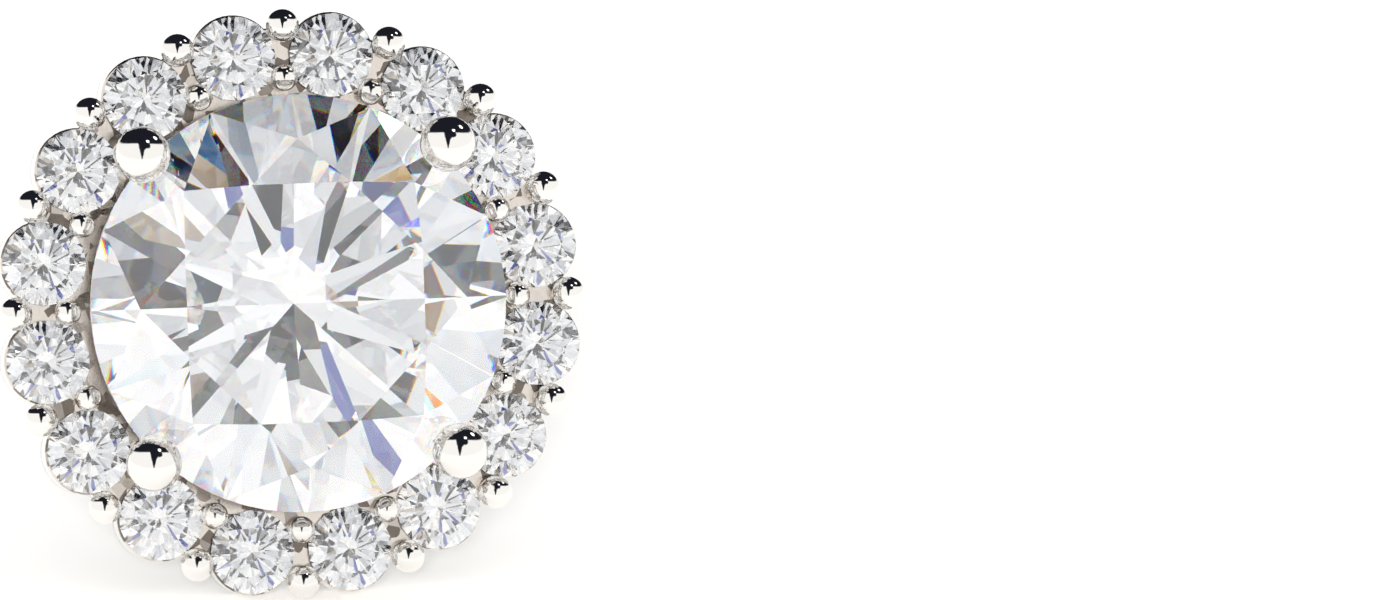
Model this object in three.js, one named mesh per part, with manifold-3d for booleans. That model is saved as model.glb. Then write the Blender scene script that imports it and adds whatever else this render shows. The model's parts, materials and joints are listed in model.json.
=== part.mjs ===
// Halo stud earring: one large round brilliant in four prongs, a halo of small brilliants held by
// shared beads, and a straight ear post. Lengths are in millimetres and angles in radians.
//
// Every piece is first made face up: +Z points out of the face, and z = 0 is the level of the halo
// stones' girdles. The finished earring is then laid on a table top (+Z up), where it leans on two
// lobes of its halo and on the tip of its post, with its face towards -Y.

import * as THREE from "three";
import { mergeVertices } from "three/addons/utils/BufferGeometryUtils.js";
import Module from "manifold-3d";

const wasm = await Module();
wasm.setup();

// Driving dimensions

const CENTRE_STONE = { diameter: 6.5, girdleSides: 64, girdleHeight: 0.85 };
const HALO = { stones: 16, stoneDiameter: 1.32, girdleSides: 16, pitchRadius: 3.93 };

// Proportions of a round brilliant. Lengths are shares of the girdle's radius.
const CUT = {
  tableRadius: 0.617,
  crownAngle: THREE.MathUtils.degToRad(34.5),
  starReach: 0.5, // how far the star facets reach from the table's edge to the girdle
  girdleHalfHeight: 0.03,
  pavilionAngle: THREE.MathUtils.degToRad(40.75),
  lowerReach: 0.83, // how far the lower girdle facets reach from the girdle to the culet
};
const MAIN_FACETS = 8;

const SEAT_GAP = 0.03; // between a stone and the metal that holds it
const CUTTER_RUN = 0.1; // how far a cutter runs past the face that it opens

// The halo's plate: a flat ring whose outer edge has a round lobe under each stone
const PLATE = { innerRadius: 2.95, outerRadius: 4.3, innerSides: 32, front: -0.09, back: -0.85 };
const LOBE = { radius: 0.68, sides: 16 };
const LIGHT_HOLE_RADIUS = 0.33; // behind each halo stone
const OUTER_BEAD = { pitchRadius: 4.34, radius: 0.26, stemRadius: 0.2, height: 0.06, foot: -0.45 };
const INNER_BEAD = { pitchRadius: 3.53, radius: 0.21, stemRadius: 0.16, height: 0.06, foot: -0.45 };
const BEAD_SIDES = 12;

const PRONGS = 4;
const PRONG = { wireRadius: 0.36, wireSides: 10, steps: 10, tipRadius: 0.42, tipSides: 12 };
// The middle of a prong's wire, from the collar to the tip that laps over the crown
const PRONG_LINE = [
  { radius: 0.95, z: -2.7 },
  { radius: 1.75, z: -2.15 },
  { radius: 2.55, z: -1.15 },
  { radius: 3.06, z: -0.1 },
  { radius: 3.36, z: 0.68 },
  { radius: 3.38, z: 1.2 },
];

const COLLAR = { radius: 1.25, dishRadius: 0.9, front: -2.4, shoulder: -2.55, back: -3.0, edge: 0.12 };
const COLLAR_SIDES = 24;
const SOCKET_DEPTH = 0.4;
const POST = { radius: 0.4, length: 10, tipRadius: 0.25, tipLength: 0.25, gap: 0.03, sides: 16 };

const FULL_TURN = 2 * Math.PI;
const STONE_STEP = FULL_TURN / HALO.stones;
const PRONG_STEP = FULL_TURN / PRONGS;
const STONE_SPIN = 0.61; // each halo stone is turned this much more than the one before

// Materials

const whiteGold = () =>
  new THREE.MeshStandardMaterial({ color: 0xe3dfd9, roughness: 0.12, metalness: 1 });
const clearStone = () =>
  new THREE.MeshStandardMaterial({
    color: 0xf3f6fa,
    roughness: 0.02,
    metalness: 0,
    transparent: true,
    opacity: 0.45,
  });

// Solids

function polar(radius, angle, z) {
  return new THREE.Vector3(radius * Math.cos(angle), radius * Math.sin(angle), z);
}

// A closed surface from flat convex facets, each a list of corners that runs anticlockwise seen
// from outside.
function facetGeometry(facets) {
  const corners = facets.flatMap((facet) =>
    facet.slice(2).flatMap((corner, i) => [facet[0], facet[i + 1], corner]),
  );
  return new THREE.BufferGeometry().setFromPoints(corners);
}

// A profile of [radius, z] pairs, from the back of the axis to its front or closed on itself,
// turned about the Z axis.
function turnedGeometry(profile, sides) {
  const points = profile.map(([radius, z]) => new THREE.Vector2(radius, z));
  return new THREE.LatheGeometry(points, sides).rotateX(Math.PI / 2);
}

function solidOf(geometry) {
  const bare = geometry.clone();
  bare.deleteAttribute("normal");
  bare.deleteAttribute("uv");
  const merged = mergeVertices(bare, 1e-5);
  return new wasm.Manifold(
    new wasm.Mesh({
      numProp: 3,
      vertProperties: merged.attributes.position.array,
      triVerts: new Uint32Array(merged.index.array),
    }),
  );
}

function geometryOf(solid) {
  const { vertProperties, triVerts } = solid.getMesh();
  const geometry = new THREE.BufferGeometry();
  geometry.setAttribute("position", new THREE.BufferAttribute(vertProperties, 3));
  geometry.setIndex(new THREE.BufferAttribute(triVerts, 1));
  return geometry;
}

function joined(geometries) {
  return geometries.map(solidOf).reduce((whole, piece) => whole.add(piece));
}

// The places of a ring of repeats: angles from 0 in equal steps, the first one moved by `start`.
function anglesOf(count, start = 0) {
  return Array.from({ length: count }, (_, i) => start + (i * FULL_TURN) / count);
}

// Cut stones

// A round brilliant with its girdle's middle at z = 0 and its first main facets facing +X. Its crown
// has a table, 8 star, 8 main and 16 upper girdle facets, and its pavilion 16 lower girdle and 8 main
// facets, which meet in a pointed culet. Where the flat girdle facets meet the round girdle they
// leave its scalloped edge.
function brilliantGeometry(diameter, girdleSides) {
  const radius = diameter / 2;
  const mainStep = FULL_TURN / MAIN_FACETS;
  const halfStep = mainStep / 2;
  const girdleTop = CUT.girdleHalfHeight * radius;
  const crownSlope = Math.tan(CUT.crownAngle);
  const pavilionSlope = Math.tan(CUT.pavilionAngle);

  const tableRadius = CUT.tableRadius * radius;
  const tableZ = girdleTop + crownSlope * (radius - tableRadius);
  const tableFlat = tableRadius * Math.cos(halfStep);
  const starRadius = tableFlat + CUT.starReach * (radius - tableFlat);
  const starZ = tableZ - crownSlope * (starRadius * Math.cos(halfStep) - tableRadius);

  const culetZ = -girdleTop - pavilionSlope * radius;
  const lowerRadius = (1 - CUT.lowerReach) * radius;
  const lowerZ = culetZ + pavilionSlope * lowerRadius * Math.cos(halfStep);

  const table = anglesOf(MAIN_FACETS).map((angle) => polar(tableRadius, angle, tableZ));
  const stars = anglesOf(MAIN_FACETS, halfStep).map((angle) => polar(starRadius, angle, starZ));
  const lowers = anglesOf(MAIN_FACETS, halfStep).map((angle) => polar(lowerRadius, angle, lowerZ));
  const culet = new THREE.Vector3(0, 0, culetZ);

  // The girdle's edge in half a main facet's step, on the plane through `apex` and both ends
  const steps = girdleSides / (2 * MAIN_FACETS);
  const edgeArc = (apex, startAngle, z) => {
    const start = polar(radius, startAngle, z);
    const end = polar(radius, startAngle + halfStep, z);
    const plane = new THREE.Plane().setFromCoplanarPoints(apex, start, end);
    return Array.from({ length: steps + 1 }, (_, i) => {
      const point = polar(radius, startAngle + (i * halfStep) / steps, 0);
      point.z = -(plane.normal.x * point.x + plane.normal.y * point.y + plane.constant) / plane.normal.z;
      return point;
    });
  };

  const facets = [table];
  for (let i = 0; i < MAIN_FACETS; i++) {
    const before = (i + MAIN_FACETS - 1) % MAIN_FACETS;
    const after = (i + 1) % MAIN_FACETS;
    const angle = i * mainStep;
    facets.push([table[i], stars[i], table[after]]);
    facets.push([table[i], stars[before], polar(radius, angle, girdleTop), stars[i]]);
    facets.push([culet, lowers[i], polar(radius, angle, -girdleTop), lowers[before]]);
    for (const start of [angle, angle + halfStep]) {
      const upper = edgeArc(stars[i], start, girdleTop);
      const lower = edgeArc(lowers[i], start, -girdleTop);
      facets.push([stars[i], ...upper]);
      facets.push([lowers[i], ...lower.toReversed()]);
      for (let j = 0; j < steps; j++) {
        facets.push([upper[j], lower[j], lower[j + 1], upper[j + 1]]);
      }
    }
  }
  return facetGeometry(facets);
}

function centreStonePlace(geometry) {
  return geometry.rotateZ(Math.PI / MAIN_FACETS).translate(0, 0, CENTRE_STONE.girdleHeight);
}

function haloStonePlaces() {
  return anglesOf(HALO.stones, STONE_STEP / 2).map((angle, i) => ({
    position: polar(HALO.pitchRadius, angle, 0),
    spin: i * STONE_SPIN,
    angle,
  }));
}

// Setting

// A lobe's edge is part of a regular polygon with a corner at its outermost point, so that the lowest
// two lobes each have a level side.
function lobeEdge(angle) {
  const { radius, sides } = LOBE;
  const reach = PLATE.outerRadius ** 2 - HALO.pitchRadius ** 2 - radius ** 2;
  const end = Math.acos(reach / (2 * HALO.pitchRadius * radius));
  const step = FULL_TURN / sides;
  const corners = anglesOf(sides, -Math.PI).filter((turn) => Math.abs(turn) < end - step / 4);
  return [-end, ...corners, end].map((turn) => {
    const centre = polar(HALO.pitchRadius, angle, 0);
    return centre.add(polar(radius, angle + turn, 0));
  });
}

function plateGeometry() {
  const outline = haloStonePlaces().flatMap(({ angle }) => lobeEdge(angle));
  const inside = anglesOf(PLATE.innerSides).map((angle) => polar(PLATE.innerRadius, angle, 0));
  const shape = new THREE.Shape(outline.map(({ x, y }) => new THREE.Vector2(x, y)));
  shape.holes.push(new THREE.Path(inside.map(({ x, y }) => new THREE.Vector2(x, y))));
  const depth = PLATE.front - PLATE.back;
  return new THREE.ExtrudeGeometry(shape, { depth, bevelEnabled: false }).translate(0, 0, PLATE.back);
}

// A bead is a ball on a slimmer stem that goes down into the plate.
function beadGeometry({ pitchRadius, radius, stemRadius, height, foot }, angle) {
  const neck = Math.asin(stemRadius / radius);
  const rings = 3;
  const ball = Array.from({ length: rings }, (_, i) => {
    const fromBack = neck + (i * (Math.PI - neck)) / rings;
    return [radius * Math.sin(fromBack), height - radius * Math.cos(fromBack)];
  });
  const profile = [[0, foot], [stemRadius, foot], ...ball, [0, height + radius]];
  const place = polar(pitchRadius, angle, 0);
  return turnedGeometry(profile, BEAD_SIDES).rotateZ(angle).translate(place.x, place.y, 0);
}

// Outer beads stand between all neighbouring stones. Where a prong passes between two stones it
// takes the inner bead's place.
function beadGeometries() {
  const prongAngles = anglesOf(PRONGS, PRONG_STEP / 2);
  const atProng = (angle) => prongAngles.some((prong) => Math.abs(prong - angle) < STONE_STEP / 2);
  return anglesOf(HALO.stones).flatMap((angle) => {
    const outer = beadGeometry(OUTER_BEAD, angle);
    return atProng(angle) ? [outer] : [outer, beadGeometry(INNER_BEAD, angle)];
  });
}

function prongGeometries() {
  const line = PRONG_LINE.map(({ radius, z }) => new THREE.Vector3(radius, 0, z));
  const path = new THREE.CatmullRomCurve3(line);
  const corners = anglesOf(PRONG.wireSides).map((angle) => polar(PRONG.wireRadius, angle, 0));
  const section = new THREE.Shape(corners.map(({ x, y }) => new THREE.Vector2(x, y)));
  const tip = line.at(-1);
  const tipRings = PRONG.tipSides / 2;
  return anglesOf(PRONGS, PRONG_STEP / 2).flatMap((angle) => [
    new THREE.ExtrudeGeometry(section, { steps: PRONG.steps, extrudePath: path }).rotateZ(angle),
    new THREE.SphereGeometry(PRONG.tipRadius, PRONG.tipSides, tipRings)
      .rotateX(Math.PI / 2)
      .translate(tip.x, tip.y, tip.z)
      .rotateZ(angle),
  ]);
}

function collarGeometry() {
  const { radius, dishRadius, front, shoulder, back, edge } = COLLAR;
  const profile = [
    [0, back],
    [radius - edge, back],
    [radius, back + edge],
    [radius, shoulder],
    [dishRadius, front],
    [0, front],
  ];
  return turnedGeometry(profile, COLLAR_SIDES);
}

// A halo stone's seat, cut through the plate from the front: a light hole at the back, a cone under
// the pavilion, a groove for the girdle and a cone over the crown that notches the beads.
function haloSeatGeometry() {
  const radius = (HALO.stoneDiameter / 2 + SEAT_GAP) / Math.cos(Math.PI / LOBE.sides);
  const groove = CUT.girdleHalfHeight * radius;
  const holeFront = -groove - (radius - LIGHT_HOLE_RADIUS) * Math.tan(CUT.pavilionAngle);
  const tableRadius = CUT.tableRadius * radius;
  const tableZ = groove + (radius - tableRadius) * Math.tan(CUT.crownAngle);
  const profile = [
    [0, PLATE.back - CUTTER_RUN],
    [LIGHT_HOLE_RADIUS, PLATE.back - CUTTER_RUN],
    [LIGHT_HOLE_RADIUS, holeFront],
    [radius, -groove],
    [radius, groove],
    [tableRadius, tableZ],
    [0, tableZ],
  ];
  return turnedGeometry(profile, LOBE.sides);
}

function socketGeometry() {
  const radius = POST.radius + POST.gap;
  const profile = [
    [0, COLLAR.back - CUTTER_RUN],
    [radius, COLLAR.back - CUTTER_RUN],
    [radius, COLLAR.back + SOCKET_DEPTH],
    [0, COLLAR.back + SOCKET_DEPTH],
  ];
  return turnedGeometry(profile, POST.sides).rotateZ(Math.PI / POST.sides);
}

// The centre stone, grown by the seat gap: it notches the prongs.
function centreSeatGeometry() {
  const grown = 1 + (2 * SEAT_GAP) / CENTRE_STONE.diameter;
  const stone = brilliantGeometry(CENTRE_STONE.diameter, CENTRE_STONE.girdleSides);
  return centreStonePlace(stone.scale(grown, grown, grown));
}

function cutGeometries() {
  const seats = haloStonePlaces().map(({ position, angle }) =>
    haloSeatGeometry().rotateZ(angle).translate(...position),
  );
  return [socketGeometry(), centreSeatGeometry(), ...seats];
}

function settingGeometry() {
  const metal = joined([
    plateGeometry(),
    collarGeometry(),
    ...prongGeometries(),
    ...beadGeometries(),
  ]);
  return geometryOf(cutGeometries().map(solidOf).reduce((whole, cutter) => whole.subtract(cutter), metal));
}

// Ear post: a plain rod, flat at its tip, with a flat side underneath when the earring rests.
const POST_TIP = COLLAR.back - POST.length;
const POST_CORNER = POST_TIP + POST.tipLength;

function postGeometry() {
  const profile = [
    [0, POST_TIP],
    [POST.tipRadius, POST_TIP],
    [POST.radius, POST_CORNER],
    [POST.radius, COLLAR.back + SOCKET_DEPTH - POST.gap],
    [0, COLLAR.back + SOCKET_DEPTH - POST.gap],
  ];
  return turnedGeometry(profile, POST.sides).rotateZ(Math.PI / POST.sides);
}

// Assembly

function named(name, geometry, material) {
  const mesh = new THREE.Mesh(geometry, material);
  mesh.name = name;
  return mesh;
}

function haloStones() {
  const geometry = brilliantGeometry(HALO.stoneDiameter, HALO.girdleSides);
  return haloStonePlaces().map(({ position, spin }, i) => {
    const stone = named(`halo_stone_${String(i + 1).padStart(2, "0")}`, geometry, clearStone());
    stone.position.copy(position);
    stone.rotation.z = spin;
    return stone;
  });
}

const head = new THREE.Group();
head.add(named("setting", settingGeometry(), whiteGold()));
head.add(named("ear_post", postGeometry(), whiteGold()));
head.add(
  named(
    "centre_stone",
    centreStonePlace(brilliantGeometry(CENTRE_STONE.diameter, CENTRE_STONE.girdleSides)),
    clearStone(),
  ),
  ...haloStones(),
);

// Rest: the back edges of the two lowest lobes and the corner of the post's tip are all on the table.
const sideDrop = (radius, sides) => radius * Math.cos(Math.PI / sides);
const lobeDrop = HALO.pitchRadius * Math.cos(STONE_STEP / 2) + sideDrop(LOBE.radius, LOBE.sides);
const postDrop = sideDrop(POST.radius, POST.sides);
const lean = Math.atan2(lobeDrop - postDrop, PLATE.back - POST_CORNER);

head.rotation.x = Math.PI / 2 - lean;
head.position.z = lobeDrop * Math.cos(lean) - PLATE.back * Math.sin(lean);

// The origin is under the middle of the box that the resting earring fills.
head.updateMatrixWorld(true);
const box = new THREE.Box3().setFromObject(head, true);
head.position.y = -(box.min.y + box.max.y) / 2;

const earring = new THREE.Group();
earring.add(head);

export default earring;
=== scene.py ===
import json
import math

import bmesh
import bpy
from mathutils import Matrix, Vector


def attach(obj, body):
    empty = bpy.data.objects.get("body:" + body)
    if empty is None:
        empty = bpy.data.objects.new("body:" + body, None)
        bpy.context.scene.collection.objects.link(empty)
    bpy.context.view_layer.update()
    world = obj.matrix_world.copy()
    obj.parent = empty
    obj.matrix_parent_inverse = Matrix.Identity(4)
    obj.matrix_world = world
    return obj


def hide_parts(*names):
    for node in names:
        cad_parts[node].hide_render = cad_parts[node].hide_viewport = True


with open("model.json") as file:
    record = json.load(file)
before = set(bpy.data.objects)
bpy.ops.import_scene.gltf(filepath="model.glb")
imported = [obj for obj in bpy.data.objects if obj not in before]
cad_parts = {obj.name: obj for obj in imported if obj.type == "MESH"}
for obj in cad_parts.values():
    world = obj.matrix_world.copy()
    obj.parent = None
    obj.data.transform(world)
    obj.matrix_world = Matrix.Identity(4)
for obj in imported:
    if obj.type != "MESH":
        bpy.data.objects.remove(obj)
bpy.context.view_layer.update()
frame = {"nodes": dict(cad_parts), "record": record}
print("frame loaded:", len(frame["nodes"]), "nodes")

# Face frame of the earring, in millimetres: x to the right, y up the face, z out of it.
# Its origin is on the axis at the halo stones' girdles, which is tipDepth in front of the post's tip.
mm = 0.001
tipDepth = 13.0
postTip = next(m for m in frame["record"]["mounts"] if m["name"] == "post_tip")
faceOut = -Vector(postTip["axis"]).normalized()
faceRight = Vector((1, 0, 0))
faceUp = faceOut.cross(faceRight)
faceOrigin = Vector(postTip["pos_m"]) + faceOut * tipDepth * mm
faceTurn = Matrix((faceRight, faceUp, faceOut)).transposed().to_4x4()
toFrame = Matrix.Translation(faceOrigin) @ faceTurn @ Matrix.Scale(mm, 4)
fullTurn = 2 * math.pi


def polar(radius, angle, z=0.0):
    return Vector((radius * math.cos(angle), radius * math.sin(angle), z))


def ringAngles(count, start=0.0):
    return [start + i * fullTurn / count for i in range(count)]


# Mesh tools. Everything is made in face millimetres and moved to the frame when it is finished.
onAxis = 1e-6
weldDistance = 0.001


def linked(obj):
    bpy.context.scene.collection.objects.link(obj)
    return obj


def meshObject(name, verts, faces):
    mesh = bpy.data.meshes.new(name)
    mesh.from_pydata([tuple(v) for v in verts], [], faces)
    mesh.update()
    return linked(bpy.data.objects.new(name, mesh))


def turned(profile, sides):  # (radius, z) pairs from the back of the axis to its front
    verts = []
    faces = []
    rings = []
    for radius, z in profile:
        if radius < onAxis:
            rings.append([len(verts)])
            verts.append(Vector((0, 0, z)))
        else:
            rings.append(list(range(len(verts), len(verts) + sides)))
            verts += [polar(radius, a, z) for a in ringAngles(sides)]
    for low, high in zip(rings, rings[1:]):
        for i in range(sides):
            j = (i + 1) % sides
            face = [low[i % len(low)], low[j % len(low)], high[j % len(high)], high[i % len(high)]]
            faces.append(list(dict.fromkeys(face)))
    return verts, faces


def arc(radius, z, size, start, end, steps):  # part of a circle in a profile, degrees up from outwards
    turns = [math.radians(start + (end - start) * i / steps) for i in range(steps + 1)]
    return [(radius + size * math.cos(t), z + size * math.sin(t)) for t in turns]


def moved(shape, matrix):
    verts, faces = shape
    return [matrix @ v for v in verts], faces


def joined(shapes):
    verts = []
    faces = []
    for shapeVerts, shapeFaces in shapes:
        faces += [[len(verts) + i for i in f] for f in shapeFaces]
        verts += shapeVerts
    return verts, faces


def bakeModifiers(obj):
    graph = bpy.context.evaluated_depsgraph_get()
    baked = bpy.data.meshes.new_from_object(obj.evaluated_get(graph))
    obj.modifiers.clear()
    old = obj.data
    obj.data = baked
    bpy.data.meshes.remove(old)


def cleanFaces(obj):  # welds the slivers that a cut leaves
    edit = bmesh.new()
    edit.from_mesh(obj.data)
    bmesh.ops.remove_doubles(edit, verts=edit.verts, dist=weldDistance)
    bmesh.ops.dissolve_degenerate(edit, edges=edit.edges, dist=weldDistance)
    bmesh.ops.triangulate(edit, faces=edit.faces)
    bmesh.ops.dissolve_degenerate(edit, edges=edit.edges, dist=weldDistance)
    edit.to_mesh(obj.data)
    edit.free()


def cutAway(obj, cutter):
    cut = obj.modifiers.new("cut", "BOOLEAN")
    cut.operation = "DIFFERENCE"
    cut.solver = "EXACT"
    cut.object = cutter
    bakeModifiers(obj)
    cleanFaces(obj)
    mesh = cutter.data
    bpy.data.objects.remove(cutter)
    bpy.data.meshes.remove(mesh)


def finishPiece(obj, material, node, sharpAngle=38):
    obj.data.transform(toFrame)
    obj.data.polygons.foreach_set("use_smooth", [True] * len(obj.data.polygons))
    obj.data.set_sharp_from_angle(angle=math.radians(sharpAngle))
    obj.data.materials.clear()
    obj.data.materials.append(material)
    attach(obj, "root")
    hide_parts(node)
    print("made", obj.name, len(obj.data.polygons), "faces")


# Node tools

def newMaterial(name):
    material = bpy.data.materials.new(name)
    material.use_nodes = True
    nodes = material.node_tree.nodes
    return material, nodes, material.node_tree.links, nodes["Principled BSDF"]


def newGroup(name, inputs, outputs):
    group = bpy.data.node_groups.new(name, "ShaderNodeTree")
    for label, value in inputs:
        socket = group.interface.new_socket(label, in_out="INPUT", socket_type="NodeSocketFloat")
        socket.default_value = value
    for label in outputs:
        group.interface.new_socket(label, in_out="OUTPUT", socket_type="NodeSocketFloat")
    inside = group.nodes.new("NodeGroupInput")
    outside = group.nodes.new("NodeGroupOutput")
    return group, group.nodes, group.links, inside, outside


def placeGroup(nodes, group, values):
    node = nodes.new("ShaderNodeGroup")
    node.node_tree = group
    for label, value in values.items():
        node.inputs[label].default_value = value
    return node


def feed(links, socket, value):  # a plain value is set, and another node's output is linked
    if isinstance(value, bpy.types.NodeSocket):
        links.new(value, socket)
    else:
        socket.default_value = value


def mathNode(nodes, links, operation, first, second):
    node = nodes.new("ShaderNodeMath")
    node.operation = operation
    feed(links, node.inputs[0], first)
    feed(links, node.inputs[1], second)
    return node.outputs[0]


def vectorNode(nodes, links, operation, first, second):
    node = nodes.new("ShaderNodeVectorMath")
    node.operation = operation
    feed(links, node.inputs[0], first)
    feed(links, node.inputs[1], second)
    return node.outputs["Value" if operation == "DOT_PRODUCT" else "Vector"]


def rampNode(nodes, links, value, low, high, kind="SMOOTHSTEP"):  # 0 at low, 1 at high
    node = nodes.new("ShaderNodeMapRange")
    node.interpolation_type = kind
    node.inputs["From Min"].default_value = low
    node.inputs["From Max"].default_value = high
    links.new(value, node.inputs["Value"])
    return node.outputs["Result"]


def mixNode(nodes, links, first, second, share):
    node = nodes.new("ShaderNodeMix")
    node.data_type = "RGBA"
    feed(links, node.inputs["A"], first)
    feed(links, node.inputs["B"], second)
    links.new(share, node.inputs["Factor"])
    return node.outputs["Result"]


# Polish that both the metal and the stones have: faint lines and a slow unevenness, in millimetres
polishLook = dict(lineDetail=3.0, waveDetail=1.0, roughFrom=(0.35, 0.75))


def makePolish():
    look = polishLook
    group, nodes, links, inside, outside = newGroup(
        "polish",
        [("Line Scale", 30.0), ("Line Stretch", 12.0), ("Wave Scale", 1.5),
         ("Roughness Low", 0.05), ("Roughness High", 0.12), ("Line Depth", 0.3)],
        ["Roughness", "Height"],
    )
    coords = nodes.new("ShaderNodeTexCoord")
    toMm = nodes.new("ShaderNodeVectorMath")
    toMm.operation = "SCALE"
    toMm.inputs["Scale"].default_value = 1 / mm
    links.new(coords.outputs["Object"], toMm.inputs[0])
    squeeze = nodes.new("ShaderNodeCombineXYZ")
    squeeze.inputs["X"].default_value = 1.0
    squeeze.inputs["Y"].default_value = 1.0
    links.new(mathNode(nodes, links, "DIVIDE", 1.0, inside.outputs["Line Stretch"]), squeeze.inputs["Z"])
    stretched = vectorNode(nodes, links, "MULTIPLY", toMm.outputs[0], squeeze.outputs[0])
    lines = nodes.new("ShaderNodeTexNoise")
    lines.inputs["Detail"].default_value = look["lineDetail"]
    links.new(stretched, lines.inputs["Vector"])
    links.new(inside.outputs["Line Scale"], lines.inputs["Scale"])
    wave = nodes.new("ShaderNodeTexNoise")
    wave.inputs["Detail"].default_value = look["waveDetail"]
    links.new(toMm.outputs[0], wave.inputs["Vector"])
    links.new(inside.outputs["Wave Scale"], wave.inputs["Scale"])
    rough = rampNode(nodes, links, lines.outputs["Fac"], *look["roughFrom"], kind="LINEAR")
    links.new(inside.outputs["Roughness Low"], rough.node.inputs["To Min"])
    links.new(inside.outputs["Roughness High"], rough.node.inputs["To Max"])
    links.new(rough, outside.inputs["Roughness"])
    lineHeight = mathNode(nodes, links, "MULTIPLY", lines.outputs["Fac"], inside.outputs["Line Depth"])
    links.new(mathNode(nodes, links, "ADD", lineHeight, wave.outputs["Fac"]), outside.inputs["Height"])
    return group


polish = makePolish()

whiteGoldLook = dict(bright=(0.93, 0.905, 0.87, 1.0), bumpStrength=0.15, bumpDepth=0.01 * mm)
recessShadeLook = dict(
    # painted shade: the taupe of the front between the stones, and the darker tone of the painted
    # shadows in it
    colour=(0.80, 0.735, 0.67, 1.0),
    shade=(0.20, 0.17, 0.145, 1.0),
    cutShade=dict(scale=5.5, low=0.40, high=0.62),  # the graver's flat marks, painted as dark patches of shade
    girdleShade=(3.29, 3.14),  # painted shadow under the large stone's girdle, from none to full, as distances from the earring's axis
    duller=0.10,
    facing=(0.15, 0.75),  # how far a surface turns to the front before it counts as a recess
)


def makeWhiteGold(name, roughLow, roughHigh):
    look = whiteGoldLook
    material, nodes, links, shader = newMaterial(name)
    shader.inputs["Metallic"].default_value = 1.0
    shader.inputs["Base Color"].default_value = look["bright"]
    marks = placeGroup(nodes, polish, {"Roughness Low": roughLow, "Roughness High": roughHigh})
    bump = nodes.new("ShaderNodeBump")
    bump.inputs["Strength"].default_value = look["bumpStrength"]
    bump.inputs["Distance"].default_value = look["bumpDepth"]
    links.new(marks.outputs["Height"], bump.inputs["Height"])
    links.new(bump.outputs["Normal"], shader.inputs["Normal"])
    links.new(marks.outputs["Roughness"], shader.inputs["Roughness"])
    return material, nodes, links, shader, marks


# the halo's front between the stones: a duller polish there, and painted shade that darkens its colour
# to a taupe, with darker painted shadow under the large stone's girdle and in the graver's marks
def makeRecessShadedGold():
    look = recessShadeLook
    cutShade = look["cutShade"]
    material, nodes, links, shader, marks = makeWhiteGold("recessShadedGold", roughLow=0.06, roughHigh=0.14)
    normal = nodes.new("ShaderNodeNewGeometry").outputs["Normal"]
    facing = vectorNode(nodes, links, "DOT_PRODUCT", normal, faceOut)
    # how much a surface faces the front: there its colour takes the painted recess shade and its polish
    # is duller
    recessed = rampNode(nodes, links, facing, *look["facing"])
    place = nodes.new("ShaderNodeTexCoord").outputs["Object"]
    fromFace = vectorNode(nodes, links, "SUBTRACT", place, faceOrigin)
    axisDistance = nodes.new("ShaderNodeVectorMath")
    axisDistance.operation = "LENGTH"
    links.new(vectorNode(nodes, links, "CROSS_PRODUCT", fromFace, faceOut), axisDistance.inputs[0])
    # painted shadow of the large stone's girdle, darkest nearest the axis
    shadeEnds = [distance * mm for distance in look["girdleShade"]]
    paintedGirdleShadow = rampNode(nodes, links, axisDistance.outputs["Value"], *shadeEnds, kind="LINEAR")
    # the graver's marks between the stones, painted as dark patches of shade in the colour
    cells = nodes.new("ShaderNodeTexVoronoi")
    cells.inputs["Scale"].default_value = cutShade["scale"] / mm
    links.new(fromFace, cells.inputs["Vector"])
    cut = rampNode(nodes, links, cells.outputs["Color"], cutShade["low"], cutShade["high"], kind="LINEAR")
    shaded = mathNode(nodes, links, "MAXIMUM", paintedGirdleShadow, cut)
    # painted shade mixed into the front's colour
    front = mixNode(nodes, links, look["colour"], look["shade"], shaded)
    tone = mixNode(nodes, links, whiteGoldLook["bright"], front, recessed)
    links.new(tone, shader.inputs["Base Color"])
    duller = mathNode(nodes, links, "MULTIPLY", recessed, look["duller"])
    rough = mathNode(nodes, links, "ADD", marks.outputs["Roughness"], duller)
    links.new(rough, shader.inputs["Roughness"])
    return material


stoneLook = dict(
    ior=2.42,
    roughHigh=0.004,
    spread=0.05,  # of the index between red and blue
    fire=[((3.0, 0.0, 0.0, 1.0), -0.45), ((0.0, 3.0, 0.0, 1.0), 0.0), ((0.0, 0.0, 3.0, 1.0), 0.55)],
)


def makeBrilliant(name, lineScale):
    look = stoneLook
    material, nodes, links, shader = newMaterial(name)
    shader.inputs["Base Color"].default_value = (1.0, 1.0, 1.0, 1.0)
    shader.inputs["Transmission Weight"].default_value = 1.0
    shader.inputs["IOR"].default_value = look["ior"]
    values = {"Line Scale": lineScale, "Roughness Low": 0.0, "Roughness High": look["roughHigh"]}
    marks = placeGroup(nodes, polish, values)
    links.new(marks.outputs["Roughness"], shader.inputs["Roughness"])
    return material, nodes, links, shader, marks


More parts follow.
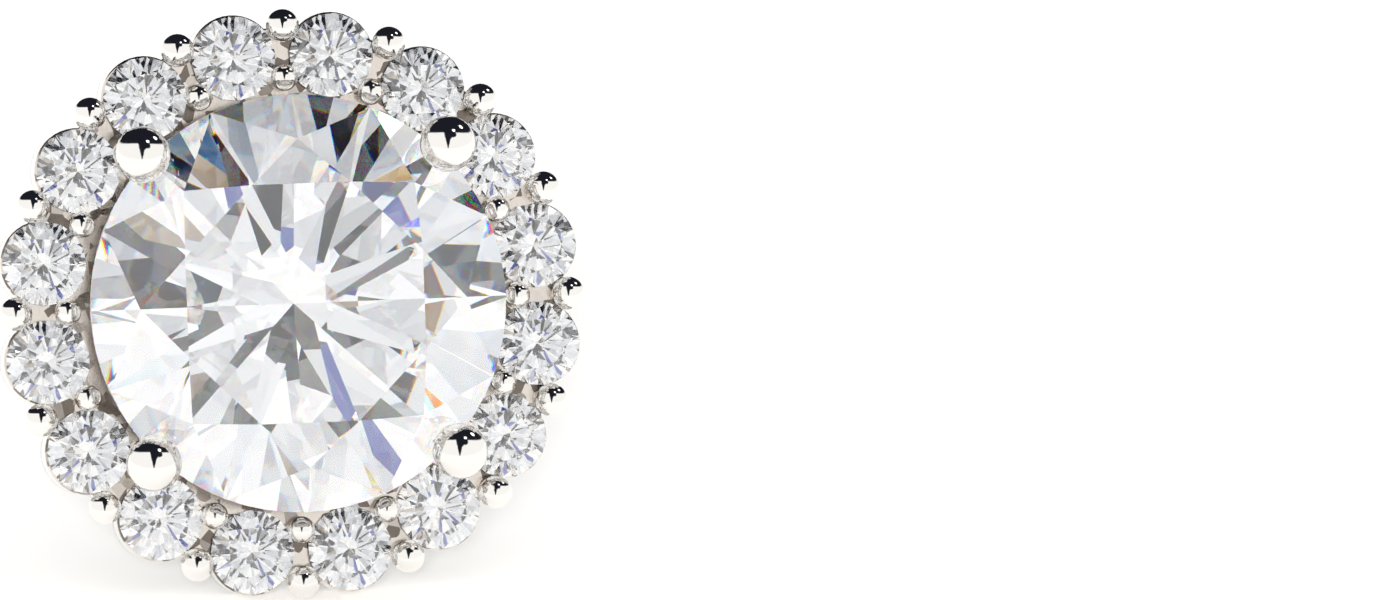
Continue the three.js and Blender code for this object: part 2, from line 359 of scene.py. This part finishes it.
# fire: the light that the lens sees is bent a little more for blue than for red
def addFire(material, nodes, links, shader, marks):
    look = stoneLook
    fire = None
    for count, (colour, share) in enumerate(look["fire"], start=1):
        glass = nodes.new("ShaderNodeBsdfGlass")
        glass.inputs["Color"].default_value = colour
        glass.inputs["IOR"].default_value = look["ior"] + look["spread"] * share
        links.new(marks.outputs["Roughness"], glass.inputs["Roughness"])
        if fire:
            blend = nodes.new("ShaderNodeMixShader")
            blend.inputs["Fac"].default_value = 1 / count
            links.new(fire, blend.inputs[1])
            links.new(glass.outputs[0], blend.inputs[2])
            fire = blend.outputs[0]
        else:
            fire = glass.outputs[0]
    seen = nodes.new("ShaderNodeLightPath")
    pick = nodes.new("ShaderNodeMixShader")
    links.new(seen.outputs["Is Camera Ray"], pick.inputs["Fac"])
    links.new(shader.outputs[0], pick.inputs[1])
    links.new(fire, pick.inputs[2])
    links.new(pick.outputs[0], nodes["Material Output"].inputs["Surface"])
    return material


polishedGold = makeWhiteGold("polishedGold", roughLow=0.04, roughHigh=0.11)[0]
recessShadedGold = makeRecessShadedGold()
centreBrilliant = addFire(*makeBrilliant("centreBrilliant", lineScale=6.0))
haloBrilliant = makeBrilliant("haloBrilliant", lineScale=12.0)[0]
print("materials made")

# Stones: the frame's own facets, with the look of a cut stone
for nodeName, nodeObject in frame["nodes"].items():
    if nodeName == "centre_stone" or nodeName.startswith("halo_stone"):
        look = centreBrilliant if nodeName == "centre_stone" else haloBrilliant
        nodeObject.data.materials.clear()
        nodeObject.data.materials.append(look)
        nodeObject.data.polygons.foreach_set("use_smooth", [False] * len(nodeObject.data.polygons))
print("stones dressed")

# Halo plate
halo = dict(stones=16, pitchRadius=3.93, stoneRadius=0.66, seatGap=0.03)
plate = dict(
    innerRadius=2.95, innerSides=128, outerRadius=4.3, lobeRadius=0.68, lobeSteps=14,
    front=-0.09, back=-0.85, edge=0.04, edgeSteps=2,
)
seat = dict(lightHole=0.33, pavilionAngle=40.75, girdle=-0.02, top=0.3, runOut=0.2, sides=48)
stoneAngles = ringAngles(halo["stones"], math.pi / halo["stones"])


def plateOutline(inset):
    reach = plate["outerRadius"] ** 2 - halo["pitchRadius"] ** 2 - plate["lobeRadius"] ** 2
    end = math.acos(reach / (2 * halo["pitchRadius"] * plate["lobeRadius"]))
    steps = plate["lobeSteps"]
    points = []
    for angle in stoneAngles:
        centre = polar(halo["pitchRadius"], angle)
        for i in range(steps + 1):
            turn = -end + 2 * end * i / steps
            points.append(centre + polar(plate["lobeRadius"] - inset, angle + turn))
    return points


def makePlate():
    curve = bpy.data.curves.new("haloPlate", "CURVE")
    curve.dimensions = "2D"
    curve.fill_mode = "BOTH"
    edge = plate["edge"]
    curve.extrude = (plate["front"] - plate["back"]) / 2 - edge
    curve.bevel_depth = edge
    curve.bevel_resolution = plate["edgeSteps"]
    inside = [polar(plate["innerRadius"] + edge, a) for a in ringAngles(plate["innerSides"])]
    for points in (plateOutline(edge), inside):
        spline = curve.splines.new("POLY")
        spline.points.add(len(points) - 1)
        for target, point in zip(spline.points, points):
            target.co = (point.x, point.y, 0, 1)
        spline.use_cyclic_u = True
    source = linked(bpy.data.objects.new("haloPlateCurve", curve))
    graph = bpy.context.evaluated_depsgraph_get()
    mesh = bpy.data.meshes.new_from_object(source.evaluated_get(graph))
    bpy.data.objects.remove(source)
    mesh.transform(Matrix.Translation((0, 0, (plate["front"] + plate["back"]) / 2)))
    return linked(bpy.data.objects.new("haloPlate", mesh))


def seatCutter():
    radius = halo["stoneRadius"] + halo["seatGap"]
    hole = seat["lightHole"]
    bottom = plate["back"] - seat["runOut"]
    coneDepth = (radius - hole) * math.tan(math.radians(seat["pavilionAngle"]))
    profile = [
        (0, bottom),
        (hole, bottom),
        (hole, seat["girdle"] - coneDepth),
        (radius, seat["girdle"]),
        (radius, seat["top"]),
        (0, seat["top"]),
    ]
    shape = turned(profile, seat["sides"])
    places = [Matrix.Translation(polar(halo["pitchRadius"], a)) for a in stoneAngles]
    return meshObject("seatCutter", *joined([moved(shape, p) for p in places]))


haloPlate = makePlate()
cutAway(haloPlate, seatCutter())
finishPiece(haloPlate, recessShadedGold, "setting")

# Beads between the halo stones. Where a prong passes it takes the inner bead's place.
beads = dict(
    outer=dict(pitchRadius=4.34, ball=0.26, stem=0.2, height=0.16, foot=-0.5),
    inner=dict(pitchRadius=3.53, ball=0.21, stem=0.155, height=0.16, foot=-0.35),
    sides=28, prongClear=0.1,
)
prongCount = 4
prongAngles = ringAngles(prongCount, math.pi / prongCount)


def beadShape(bead, angle):
    neck = math.degrees(math.acos(bead["stem"] / bead["ball"]))
    profile = [(0, bead["foot"] - bead["stem"])]
    profile += arc(0, bead["foot"], bead["stem"], start=-75, end=0, steps=5)
    profile += arc(0, bead["height"], bead["ball"], start=-neck, end=80, steps=14)
    profile += [(0, bead["height"] + bead["ball"])]
    return moved(turned(profile, beads["sides"]), Matrix.Translation(polar(bead["pitchRadius"], angle)))


def makeBeads():
    shapes = []
    for angle in ringAngles(halo["stones"]):
        shapes.append(beadShape(beads["outer"], angle))
        if min(abs(angle - p) for p in prongAngles) > beads["prongClear"]:
            shapes.append(beadShape(beads["inner"], angle))
    return meshObject("haloBeads", *joined(shapes))


haloBeads = makeBeads()
finishPiece(haloBeads, polishedGold, "setting")

# Prongs: swept wires that end in a ball, notched where the large stone sits
prong = dict(
    line=[(0.95, -2.7), (1.75, -2.15), (2.55, -1.15), (3.06, -0.1), (3.36, 0.68), (3.38, 1.2)],
    wire=0.36, ball=0.44, root=0.34, rootRun=0.9, sides=28, steps=48, lineSteps=40, tipStep=10,
)
largeStone = dict(radius=3.25, girdleHeight=0.85)


def smoothLine(points, steps):  # Catmull-Rom through the points, evenly spaced
    ends = [2 * points[0] - points[1], *points, 2 * points[-1] - points[-2]]
    fine = []
    for a, b, c, d in zip(ends, ends[1:], ends[2:], ends[3:]):
        for i in range(prong["lineSteps"]):
            t = i / prong["lineSteps"]
            square = (2 * a - 5 * b + 4 * c - d) * t ** 2
            cube = (3 * b - a - 3 * c + d) * t ** 3
            fine.append(0.5 * (2 * b + (c - a) * t + square + cube))
    fine.append(points[-1])
    lengths = [0.0]
    for a, b in zip(fine, fine[1:]):
        lengths.append(lengths[-1] + (b - a).length)
    even = []
    k = 0
    for i in range(steps + 1):
        want = lengths[-1] * i / steps
        while k < len(fine) - 2 and lengths[k + 1] < want:
            k += 1
        share = (want - lengths[k]) / (lengths[k + 1] - lengths[k])
        even.append(fine[k].lerp(fine[k + 1], share))
    return even, lengths[-1]


def prongShape(angle):
    path, length = smoothLine([Vector((r, 0, z)) for r, z in prong["line"]], prong["steps"])
    ball = prong["ball"]
    sides = prong["sides"]
    sideways = Vector((0, 1, 0))
    verts = []
    faces = []
    rings = []

    def addRing(centre, along, radius):
        across = sideways.cross(along).normalized()
        rings.append(list(range(len(verts), len(verts) + sides)))
        for a in ringAngles(sides):
            verts.append(centre + across * radius * math.cos(a) + sideways * radius * math.sin(a))

    for i, point in enumerate(path):
        along = (path[min(i + 1, len(path) - 1)] - path[max(i - 1, 0)]).normalized()
        run = length * i / prong["steps"]
        left = length - run  # to the ball's middle
        rootShare = max(0, 1 - run / prong["rootRun"]) ** 2
        radius = prong["wire"] + (prong["root"] - prong["wire"]) * rootShare
        if left < ball:
            radius = max(radius, math.sqrt(ball ** 2 - left ** 2))
        addRing(point, along, radius)
    along = (path[-1] - path[-2]).normalized()
    for turn in range(prong["tipStep"], 90, prong["tipStep"]):
        t = math.radians(turn)
        addRing(path[-1] + along * ball * math.sin(t), along, ball * math.cos(t))
    rootPole = len(verts)
    verts.append(path[0].copy())
    tipPole = len(verts)
    verts.append(path[-1] + along * ball)
    for low, high in zip(rings, rings[1:]):
        faces += [[low[i], low[(i + 1) % sides], high[(i + 1) % sides], high[i]] for i in range(sides)]
    faces += [[rings[0][(i + 1) % sides], rings[0][i], rootPole] for i in range(sides)]
    faces += [[rings[-1][i], rings[-1][(i + 1) % sides], tipPole] for i in range(sides)]
    return moved((verts, faces), Matrix.Rotation(angle, 4, "Z"))


def stoneCutter():  # the large stone, grown by the seat's gap
    mesh = frame["nodes"]["centre_stone"].data.copy()
    mesh.transform(toFrame.inverted())
    middle = Matrix.Translation((0, 0, largeStone["girdleHeight"]))
    grown = 1 + halo["seatGap"] / largeStone["radius"]
    mesh.transform(middle @ Matrix.Scale(grown, 4) @ middle.inverted())
    return linked(bpy.data.objects.new("stoneCutter", mesh))


prongs = meshObject("prongs", *joined([prongShape(a) for a in prongAngles]))
cutAway(prongs, stoneCutter())
finishPiece(prongs, polishedGold, "setting")

# Collar that gathers the prongs and holds the post
collar = dict(
    radius=1.25, front=-2.4, shoulder=-2.55, back=-3.0, edge=0.1, sides=72,
    socket=0.43, socketFloor=-2.6, socketEdge=0.03,
    dish=[(0.9, 0.0), (0.75, -0.02), (0.0, -0.05)],  # radius, and depth from the front
)


def makeCollar():
    c = collar
    edge = c["edge"]
    lip = c["socketEdge"]
    profile = [(0, c["socketFloor"]), (c["socket"], c["socketFloor"])]
    profile += arc(c["socket"] + lip, c["back"] + lip, lip, start=180, end=270, steps=4)
    profile += arc(c["radius"] - edge, c["back"] + edge, edge, start=-90, end=0, steps=6)
    profile += arc(c["radius"] - edge, c["shoulder"], edge, start=0, end=65, steps=5)
    profile += [(radius, c["front"] + depth) for radius, depth in c["dish"]]
    return meshObject("collar", *turned(profile, c["sides"]))


collarPiece = makeCollar()
finishPiece(collarPiece, polishedGold, "setting")

# Ear post. Its edges are softened by small steps in radius and height.
post = dict(
    radius=0.4, tipRadius=0.25, tipLength=0.25, top=-2.63, sides=48,
    tipEdge=[(-0.02, 0.0), (0.01, 0.02)],
    cornerEdge=[(-0.02, -0.03), (-0.004, 0.01), (0.0, 0.05)],
)


def makePost():
    p = post
    tip = -tipDepth
    corner = tip + p["tipLength"]
    profile = [(0, tip)]
    profile += [(p["tipRadius"] + r, tip + z) for r, z in p["tipEdge"]]
    profile += [(p["radius"] + r, corner + z) for r, z in p["cornerEdge"]]
    profile += [(p["radius"], p["top"]), (0, p["top"])]
    return meshObject("earPost", *turned(profile, p["sides"]))


earPost = makePost()
finishPiece(earPost, polishedGold, "ear_post")

# Floor
floorLook = dict(size=1.6, colour=(0.82, 0.82, 0.815, 1.0), rough=0.8)


def makeFloor():
    half = floorLook["size"] / 2
    corners = [(-half, -half, 0), (half, -half, 0), (half, half, 0), (-half, half, 0)]
    obj = meshObject("floor", corners, [(0, 1, 2, 3)])
    material, nodes, links, shader = newMaterial("palePaper")
    shader.inputs["Base Color"].default_value = floorLook["colour"]
    shader.inputs["Roughness"].default_value = floorLook["rough"]
    obj.data.materials.append(material)
    return obj


floor = makeFloor()
print("floor laid")

# Camera: the photo's view of the face, a little from its left, with the earring left of the middle
shot = dict(
    imageSize=(1389, 600),
    facePixel=(291.8, 303.6),  # the halo's middle in the image
    pixelsPerMm=64.06,
    yaw=7.0,  # degrees to the left of the face's axis
    roll=-2.2,
    distance=200.0,
    sensor=36.0,
    clip=(0.01, 10.0),
)


def makeCamera():
    width, height = shot["imageSize"]
    data = bpy.data.cameras.new("camera")
    data.sensor_width = shot["sensor"]
    data.lens = shot["sensor"] * shot["distance"] * shot["pixelsPerMm"] / width
    data.clip_start = shot["clip"][0]
    data.clip_end = shot["clip"][1]
    offsetRight = (width / 2 - shot["facePixel"][0]) / shot["pixelsPerMm"]
    offsetUp = (shot["facePixel"][1] - height / 2) / shot["pixelsPerMm"]
    # the lens stands to the right of the earring, which takes some of the yaw back
    yaw = math.radians(shot["yaw"]) + math.atan(offsetRight / shot["distance"])
    back = faceOut * math.cos(yaw) - faceRight * math.sin(yaw)
    right = faceUp.cross(back)
    roll = Matrix.Rotation(math.radians(shot["roll"]), 3, "Z")
    turn = Matrix((right, faceUp, back)).transposed() @ roll
    aim = faceOrigin + (turn.col[0] * offsetRight + turn.col[1] * offsetUp) * mm
    camera = linked(bpy.data.objects.new("camera", data))
    camera.matrix_world = Matrix.Translation(aim + back * shot["distance"] * mm) @ turn.to_4x4()
    bpy.context.scene.camera = camera
    return dict(right=turn.col[0].copy(), up=turn.col[1].copy(), back=back)


lens = makeCamera()

# Studio, in the lens's own directions (right, up, back to the lens): white walls and floor, a dark
# ceiling that leans back, a dark slot between the two front panels and two small lamps in the ceiling
studio = dict(
    walls=(1.02, 1.02, 1.015, 1.0),
    # what the stones gather: cloth with soft folds, brighter above and greyer below
    stoneWalls=(0.93, 0.945, 0.97, 1.0),
    stoneBands=[dict(colour=(1.18, 1.19, 1.20, 1.0), none=0.10, full=0.45),
                dict(colour=(0.60, 0.62, 0.655, 1.0), none=-0.10, full=-0.70)],
    wallFolds=dict(colour=(0.62, 0.64, 0.67, 1.0), scale=2.4, detail=1.5, low=0.45, high=0.65),
    tints=[dict(towards=(0.03, -0.20, 0.98), angle=5, soft=1.2, colour=(0.07, 0.10, 0.40, 1.0)),
           dict(towards=(-0.20, -0.08, 0.97), angle=5, soft=1.5, colour=(0.42, 0.35, 0.27, 1.0)),
           dict(towards=(-0.05, -0.41, 0.91), angle=5, soft=1.2, colour=(0.05, 0.045, 0.045, 1.0)),
           dict(towards=(-0.27, 0.53, 0.80), angle=8, soft=1.5, colour=(0.36, 0.365, 0.38, 1.0))],
    behind=dict(towards=(0.0, -0.1, -1.0), angle=42, soft=12, colour=(0.42, 0.40, 0.38, 1.0)),
    dark=(0.012, 0.013, 0.02, 1.0),
    lamp=(3.0, 3.0, 2.95, 1.0),
    ceiling=dict(towards=(0.0, 0.966, -0.259), angle=58, soft=2.5),
    hoods=[dict(towards=(0.06, 0.53, 0.84), angle=15, soft=1.5),
           dict(towards=(0.36, 0.62, 0.70), angle=13, soft=1.5)],
    lamps=[dict(towards=(0.36, 0.81, 0.46), angle=5.0, soft=1.0),
           dict(towards=(0.60, 0.78, -0.15), angle=6.0, soft=1.0)],
    slot=dict(middle=0.03, half=0.105, flare=0.22, soft=0.02, front=(0.0, 0.1)),
    paperLight=(1.12, 1.11, 1.095, 1.0),  # behind everything, and what the paper floor gets
    floorSun=3.2,
    sunSoftness=12,
)


def lensVector(parts):
    return (lens["right"] * parts[0] + lens["up"] * parts[1] + lens["back"] * parts[2]).normalized()


def makeStudio():
    world = bpy.data.worlds.new("studio")
    bpy.context.scene.world = world
    world.use_nodes = True
    nodes = world.node_tree.nodes
    links = world.node_tree.links
    direction = nodes.new("ShaderNodeTexCoord").outputs["Generated"]
    ray = nodes.new("ShaderNodeLightPath").outputs
    inStone = ray["Is Transmission Ray"]

    def along(axis):
        return vectorNode(nodes, links, "DOT_PRODUCT", direction, axis)

    def ramp(value, low, high):
        return rampNode(nodes, links, value, low, high)

    def both(first, second):
        return mathNode(nodes, links, "MULTIPLY", first, second)

    def tint(colour, patchColour, share):
        return mixNode(nodes, links, colour, patchColour, share)

    def spot(patch):
        outer = math.cos(math.radians(patch["angle"] + patch["soft"]))
        inner = math.cos(math.radians(patch["angle"] - patch["soft"]))
        return ramp(along(lensVector(patch["towards"])), outer, inner)

    slot = studio["slot"]
    up = along(lens["up"])
    width = mathNode(nodes, links, "MULTIPLY_ADD", up, slot["flare"])
    width.node.inputs[2].default_value = slot["half"]
    aside = mathNode(nodes, links, "SUBTRACT", along(lens["right"]), slot["middle"])
    past = mathNode(nodes, links, "SUBTRACT", width, mathNode(nodes, links, "ABSOLUTE", aside, 0.0))
    between = both(ramp(past, -slot["soft"], slot["soft"]), ramp(along(lens["back"]), *slot["front"]))
    folds = studio["wallFolds"]
    cloth = nodes.new("ShaderNodeTexNoise")
    cloth.inputs["Scale"].default_value = folds["scale"]
    cloth.inputs["Detail"].default_value = folds["detail"]
    links.new(direction, cloth.inputs["Vector"])

    colour = tint(studio["walls"], studio["stoneWalls"], inStone)
    for band in studio["stoneBands"]:
        colour = tint(colour, band["colour"], both(ramp(up, band["none"], band["full"]), inStone))
    folded = both(ramp(cloth.outputs["Fac"], folds["low"], folds["high"]), inStone)
    colour = tint(colour, folds["colour"], folded)
    colour = tint(colour, studio["behind"]["colour"], spot(studio["behind"]))
    colour = tint(colour, studio["dark"], between)
    for patch in (*studio["hoods"], studio["ceiling"]):
        colour = tint(colour, studio["dark"], spot(patch))
    for patch in studio["lamps"]:
        colour = tint(colour, studio["lamp"], spot(patch))
    for patch in studio["tints"]:
        colour = tint(colour, patch["colour"], both(spot(patch), inStone))
    plain = mathNode(nodes, links, "MAXIMUM", ray["Is Diffuse Ray"], ray["Is Camera Ray"])
    colour = tint(colour, studio["paperLight"], plain)
    links.new(colour, nodes["Background"].inputs["Color"])
    nodes["Background"].inputs["Strength"].default_value = 1.0

    # a sun beside the lens that only the paper floor takes, so its shadow falls behind the earring
    sun = bpy.data.lights.new("floorSun", "SUN")
    sun.energy = studio["floorSun"]
    sun.angle = math.radians(studio["sunSoftness"])
    lamp = linked(bpy.data.objects.new("floorSun", sun))
    lamp.rotation_euler = lens["back"].to_track_quat("Z", "Y").to_euler()
    lamp.visible_glossy = False
    lamp.visible_transmission = False


makeStudio()

scene = bpy.context.scene
scene.view_settings.view_transform = "Standard"
scene.cycles.max_bounces = 24
scene.cycles.glossy_bounces = 16
scene.cycles.transmission_bounces = 24
scene.cycles.blur_glossy = 0.0
print("studio lit")
